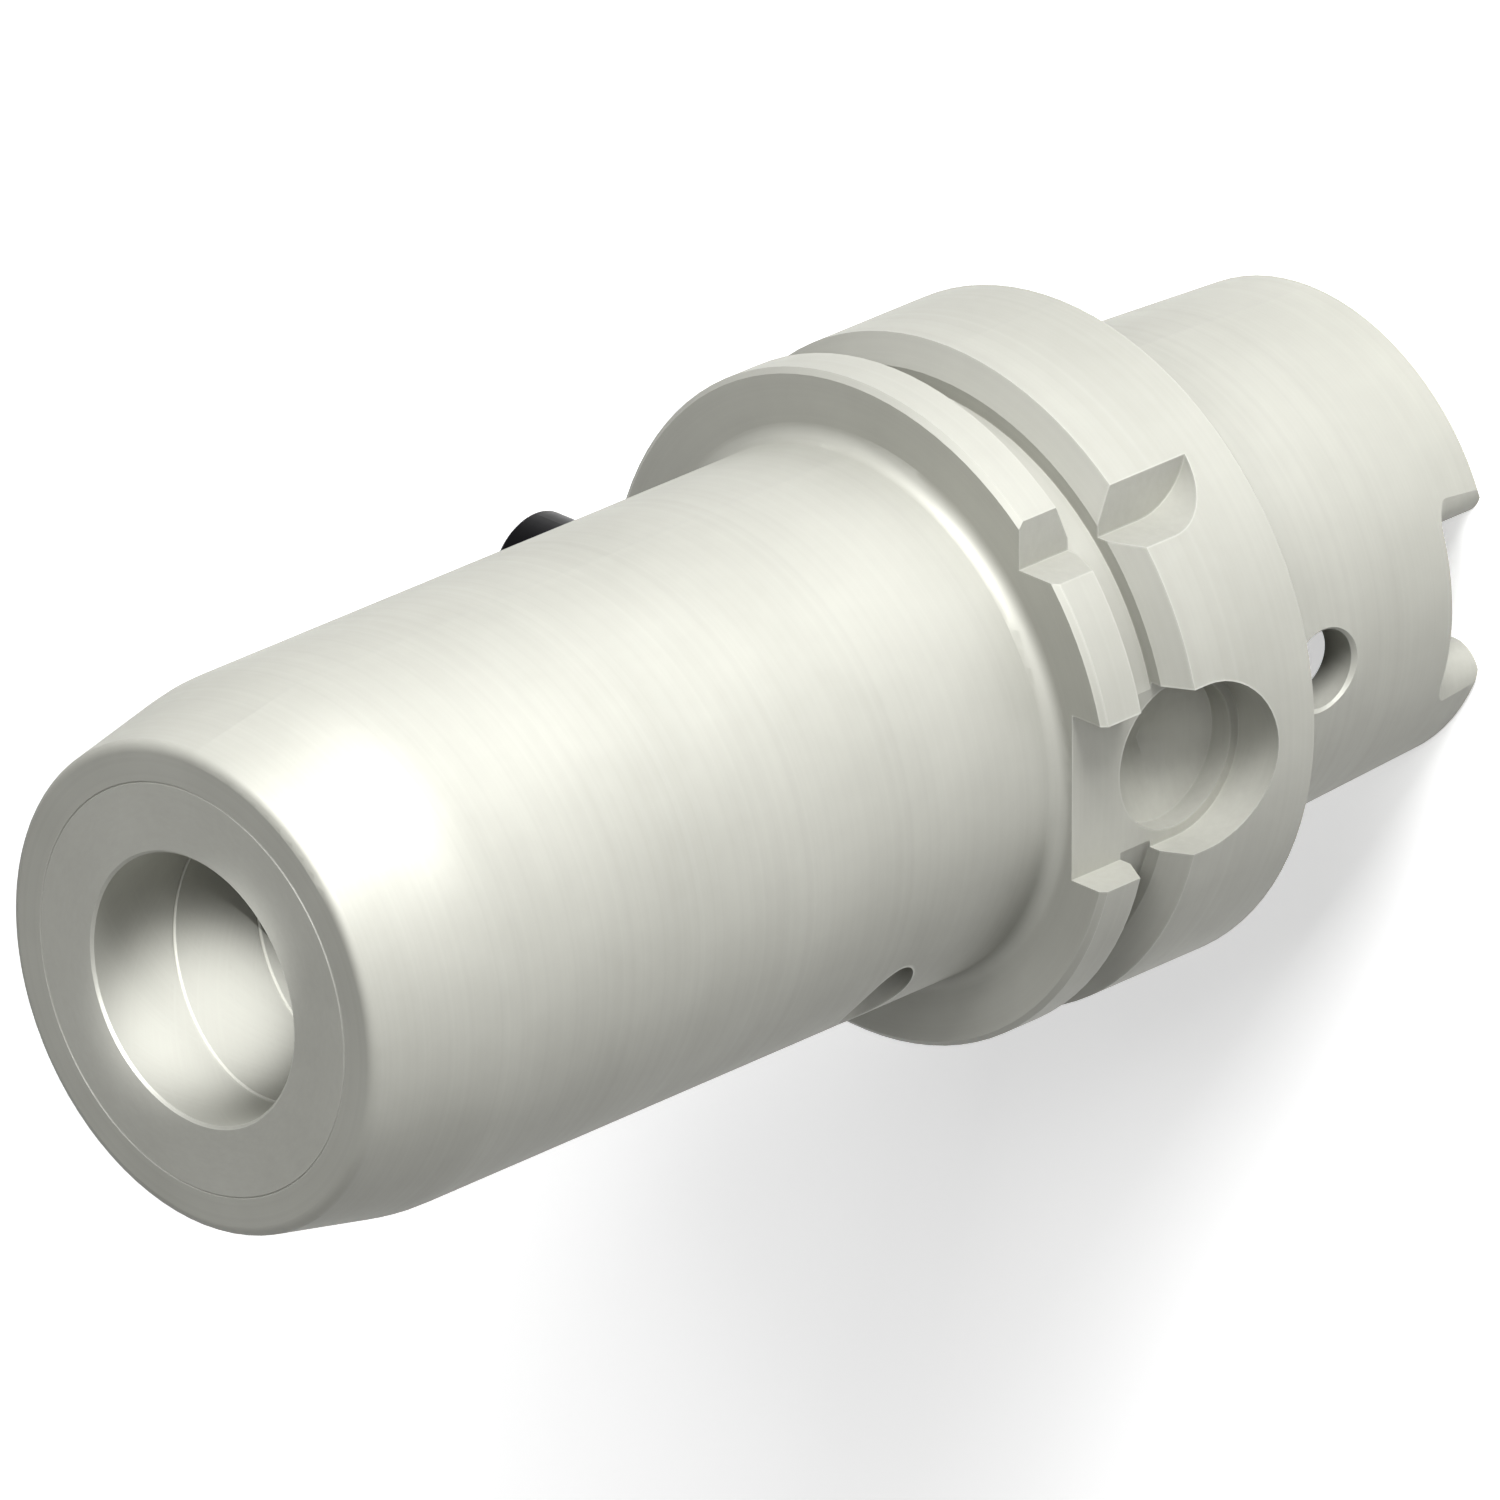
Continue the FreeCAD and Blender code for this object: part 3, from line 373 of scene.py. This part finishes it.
# Lapped bearing-ball steel: close to a mirror
BALL_STEEL = MetalFinish(
    "lapped_steel_ball", colour="#C6C6C4", shade="#BBBBB9", worn="#D2D2D0",
    roughness=0.12, roughness_spread=0.03, mark_mm=0.2, mark_depth_mm=0.001, lay=Lay.LAPPED,
    worn_edge_mm=0.20)
# Moulded nitrile rubber: black and dull
SEAL_RUBBER = SoftFinish(
    "nitrile_rubber_moulded", colour="#17171A", shade="#232326", roughness=0.62, grain_mm=0.25)
# Turned fluoropolymer: waxy white
RING_PLASTIC = SoftFinish(
    "fluoropolymer_turned", colour="#E6E4DC", shade="#D6D4CB", roughness=0.45, grain_mm=0.20)

FINISHES = {
    "chuck_body": BODY_STEEL,
    "expansion_sleeve": SLEEVE_STEEL,
    "clamping_screw": BLACK_SCREW,
    "pressure_piston": PISTON_STEEL,
    "piston_seal": SEAL_RUBBER,
    "piston_backup_ring": RING_PLASTIC,
    "bleed_screw": BLACK_BLEED,
    "sealing_ball": BALL_STEEL,
    "stop_screw": BLACK_STOP,
}


@dataclass
class Chuck:
    """The chuck's own pieces, dressed."""

    nodes: dict[str, bpy.types.Object]
    finishes: dict[str, MetalFinish | SoftFinish]

    def dress(self) -> None:
        """Give every piece its finish."""
        for name, finish in self.finishes.items():
            material = finish.build()
            for slot in self.nodes[name].material_slots:
                slot.material = material
            log.info("%s is finished as %s", name, material.name)


class LampKind(Enum):
    """The way that a lamp spreads its light."""

    SOFTBOX = "AREA"
    SNOOT = "SPOT"


# A snoot's lamp is small, so that its light stays inside the patch
SNOOT_BULB = 0.002
SNOOT_SOFTNESS = 1.0


@dataclass(frozen=True)
class Lamp:
    """A studio lamp. Size is a softbox's side, or the width of a snoot's patch of light."""

    name: str
    kind: LampKind
    azimuth: float
    elevation: float
    distance: float
    size: float
    power: float
    target: tuple[float, float, float] = (0.0, 0.0, 0.038)

    def build(self) -> bpy.types.Object:
        """Make the lamp.

        Returns:
            The lamp's object.
        """
        data = bpy.data.lights.new(self.name, self.kind.value)
        data.energy = self.power
        if self.kind is LampKind.SOFTBOX:
            data.shape = "SQUARE"
            data.size = self.size
        else:
            data.spot_size = 2 * math.atan(self.size / 2 / self.distance)
            data.spot_blend = SNOOT_SOFTNESS
            data.shadow_soft_size = SNOOT_BULB
        lamp = bpy.data.objects.new(self.name, data)
        bpy.context.scene.collection.objects.link(lamp)
        away = direction(self.azimuth, self.elevation)
        lamp.location = Vector(self.target) + away * self.distance
        lamp.rotation_euler = away.to_track_quat("Z", "Y").to_euler()
        return lamp


# The snoot shines into the tool bore only, past the nose face
NOSE_CENTRE = (0.0, 0.0, 0.108)
LAMPS = (
    Lamp("key_lamp", LampKind.SOFTBOX, azimuth=-24.0, elevation=8.0, distance=1.2, size=0.5, power=31.0),
    Lamp("fill_lamp", LampKind.SOFTBOX, azimuth=-40.0, elevation=48.0, distance=1.3, size=0.4, power=8.5),
    Lamp(
        "bore_lamp", LampKind.SNOOT, azimuth=-44.0, elevation=40.0, distance=1.2, size=0.018, power=290.0,
        target=NOSE_CENTRE),
)


@dataclass
class Studio:
    """Floor, lamps and surroundings."""

    floor_colour: str = "#F7F7F7"
    floor_roughness: float = 0.9
    floor_reach: float = 12.0
    floor_glow: float = 0.56
    surround_light: float = 0.08
    lamps: tuple[Lamp, ...] = LAMPS

    def build(self) -> None:
        """Make the floor, the lamps and the world."""
        self._floor(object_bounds()[0].z)
        for lamp in self.lamps:
            lamp.build()
            log.info("%s is lit", lamp.name)
        self._world()

    def _floor(self, height: float) -> None:
        """Lay a wide pale floor.

        Args:
            height: The floor's Z.
        """
        mesh = bpy.data.meshes.new("floor")
        sheet = bmesh.new()
        bmesh.ops.create_grid(
            sheet, x_segments=1, y_segments=1, size=self.floor_reach,
            matrix=Matrix.Translation((0.0, 0.0, height)),
        )
        sheet.to_mesh(mesh)
        sheet.free()
        floor = bpy.data.objects.new("floor", mesh)
        bpy.context.scene.collection.objects.link(floor)
        mesh.materials.append(self._paper())
        floor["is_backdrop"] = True

    def _paper(self) -> bpy.types.Material:
        """Pale paper that shows white and still takes the object's shadow."""
        material = empty_material("pale_paper")
        tree = material.node_tree
        glow = add_node(
            tree, "ShaderNodeMapRange", {"To Min": 0.0, "To Max": self.floor_glow},
            {"Value": self._shown(tree)},
        )
        shader = add_node(
            tree, "ShaderNodeBsdfPrincipled",
            {
                "Base Color": linear(self.floor_colour),
                "Roughness": self.floor_roughness,
                "Emission Color": WHITE,
            },
            {"Emission Strength": glow.outputs[0]},
        )
        add_node(tree, "ShaderNodeOutputMaterial", {}, {"Surface": shader.outputs[0]})
        return material

    def _shown(self, tree: bpy.types.NodeTree) -> bpy.types.NodeSocket:
        """1 where the background is seen straight, in a reflection or through glass, else 0."""
        path = add_node(tree, "ShaderNodeLightPath")
        seen = add_node(
            tree, "ShaderNodeMath", {"operation": "MAXIMUM"},
            {0: path.outputs["Is Camera Ray"], 1: path.outputs["Is Glossy Ray"]},
        )
        shown = add_node(
            tree, "ShaderNodeMath", {"operation": "MAXIMUM"},
            {0: seen.outputs[0], 1: path.outputs["Is Transmission Ray"]},
        )
        return shown.outputs[0]

    def _world(self) -> None:
        """White to the camera and in reflections, and a dimmer even light otherwise."""
        world = bpy.data.worlds.new("white_surround")
        bpy.context.scene.world = world
        world.use_nodes = True
        tree = world.node_tree
        tree.nodes.clear()
        strength = add_node(
            tree, "ShaderNodeMapRange", {"To Min": self.surround_light, "To Max": 1.0},
            {"Value": self._shown(tree)},
        )
        background = add_node(
            tree, "ShaderNodeBackground", {"Color": WHITE}, {"Strength": strength.outputs[0]}
        )
        add_node(tree, "ShaderNodeOutputWorld", {}, {"Surface": background.outputs[0]})


@dataclass(frozen=True)
class PhotographCamera:
    """A long lens from above and to the side, turned about its own axis."""

    azimuth: float = -56.640
    elevation: float = 39.864
    roll: float = -112.914
    distance: float = 2.63361
    aim: tuple[float, float, float] = (0.00029, 0.00019, 0.03933)
    lens_mm: float = 716.54
    sensor_mm: float = 36.0
    nearest: float = 0.05
    farthest: float = 60.0

    def build(self) -> None:
        """Make the camera and set it as the scene's own."""
        data = bpy.data.cameras.new("photograph_camera")
        data.sensor_width = self.sensor_mm
        data.lens = self.lens_mm
        data.clip_start = self.nearest
        data.clip_end = self.farthest
        camera = bpy.data.objects.new("photograph_camera", data)
        bpy.context.scene.collection.objects.link(camera)
        back = direction(self.azimuth, self.elevation)
        level = (-back).to_track_quat("-Z", "Y").to_matrix().to_4x4()
        rolled = level @ Matrix.Rotation(math.radians(self.roll), 4, "Z")
        camera.matrix_world = Matrix.Translation(Vector(self.aim) + back * self.distance) @ rolled
        bpy.context.scene.camera = camera


def main() -> None:
    """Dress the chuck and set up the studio."""
    logging.basicConfig(level=logging.INFO, format="%(name)s: %(message)s")
    bpy.context.scene.view_settings.view_transform = "Standard"
    Chuck(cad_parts, FINISHES).dress()
    Studio().build()
    PhotographCamera().build()


if __name__ == "__main__":
    main()
